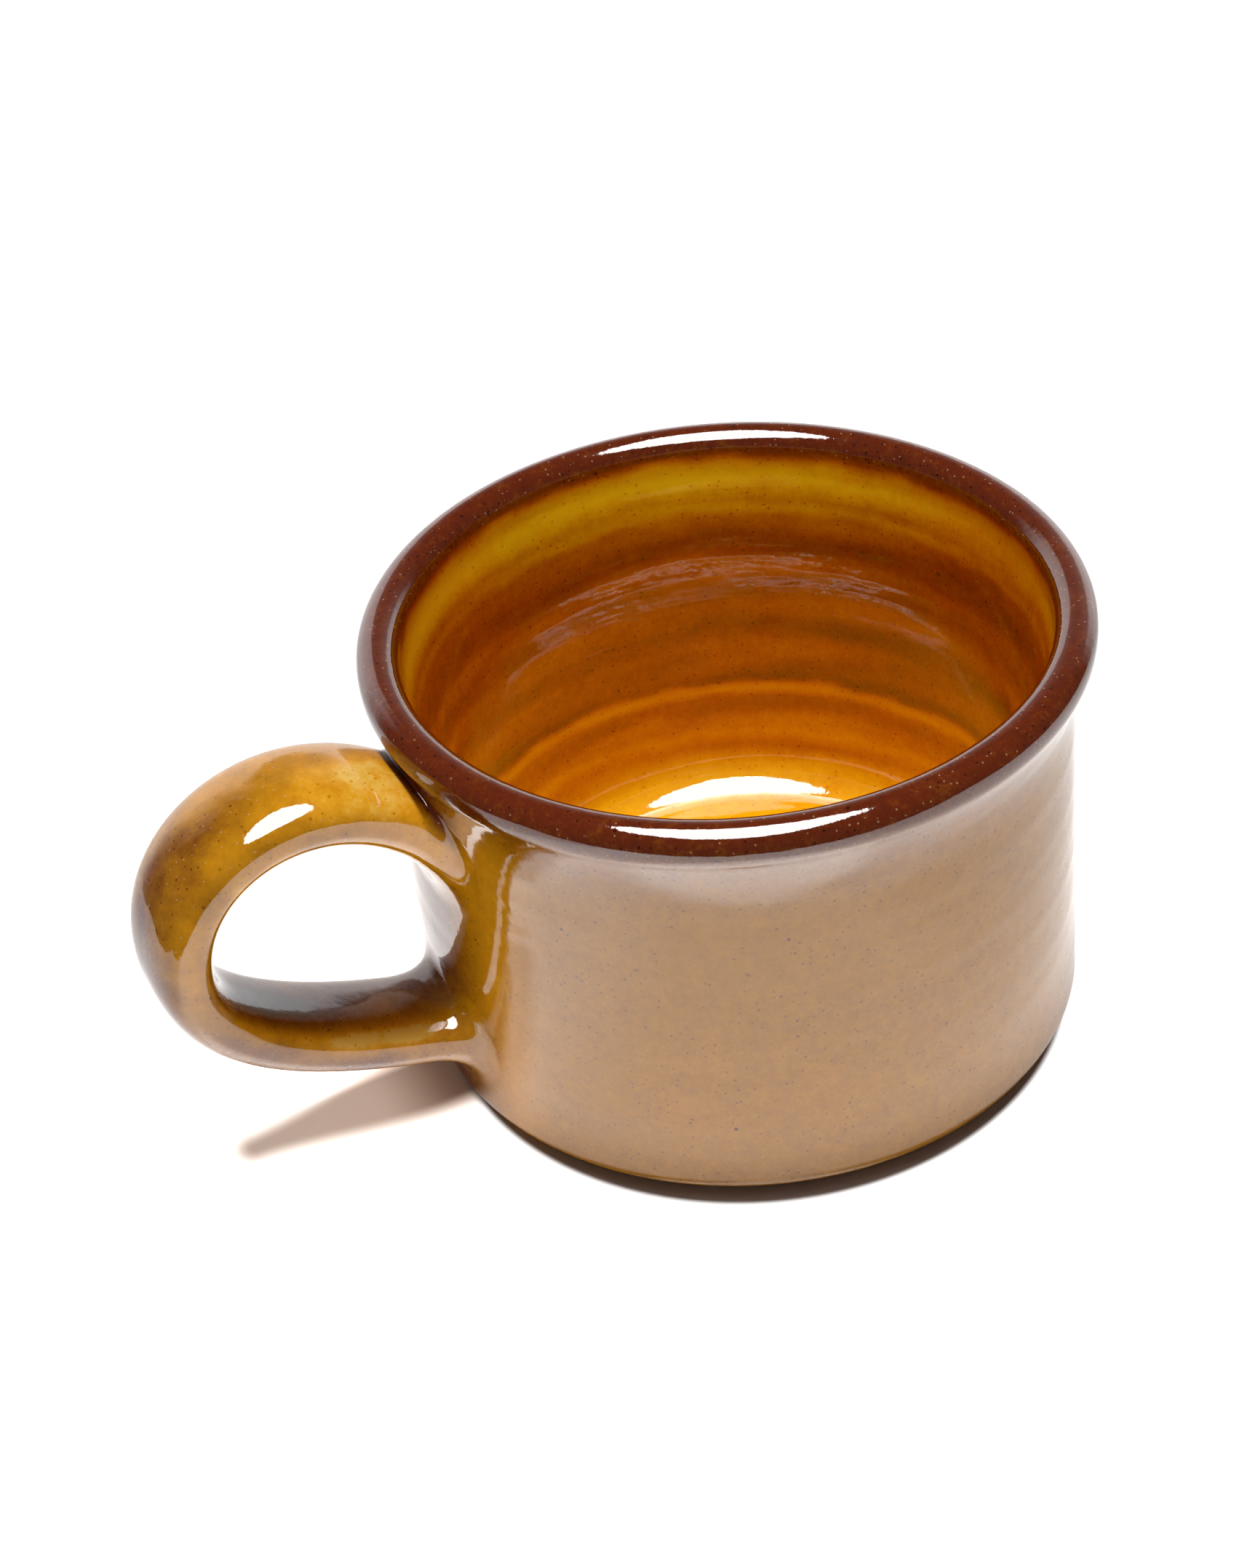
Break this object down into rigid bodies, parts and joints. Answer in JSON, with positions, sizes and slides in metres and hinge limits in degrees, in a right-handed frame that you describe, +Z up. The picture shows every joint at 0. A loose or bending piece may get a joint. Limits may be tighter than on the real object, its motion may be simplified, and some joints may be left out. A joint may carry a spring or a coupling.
{
  "type": "coffee mug",
  "caption": "Low round stoneware mug with straight walls, a rolled lip, a flat base and a loop handle, glossy amber glaze inside and out.",
  "frame": {"origin": "centre of the flat base, on the cup's axis", "axes": "+Z up along the cup's axis, -X along the handle"},
  "size_m": [0.1375, 0.1, 0.0645],
  "materials": {
    "bare_clay": "unglazed fired stoneware, matte and finely gritty",
    "joint_slip": "fired slip, matte",
    "outer_glaze": "glossy honey glaze over brown clay, fine dark specks",
    "liner_glaze": "glossy amber glaze, darker in the throwing grooves",
    "rim_glaze": "thin glossy glaze, brown clay showing through"
  },
  "bodies": {
    "root": {"thrown_cup": "bare_clay", "pulled_handle": "bare_clay", "upper_slip_joint": "joint_slip", "lower_slip_joint": "joint_slip", "upper_joint_coil": "outer_glaze", "lower_joint_coil": "outer_glaze", "liner_glaze": "liner_glaze", "rim_glaze": "rim_glaze", "wall_glaze": "outer_glaze", "handle_glaze": "outer_glaze"}
  },
  "joints": []
}
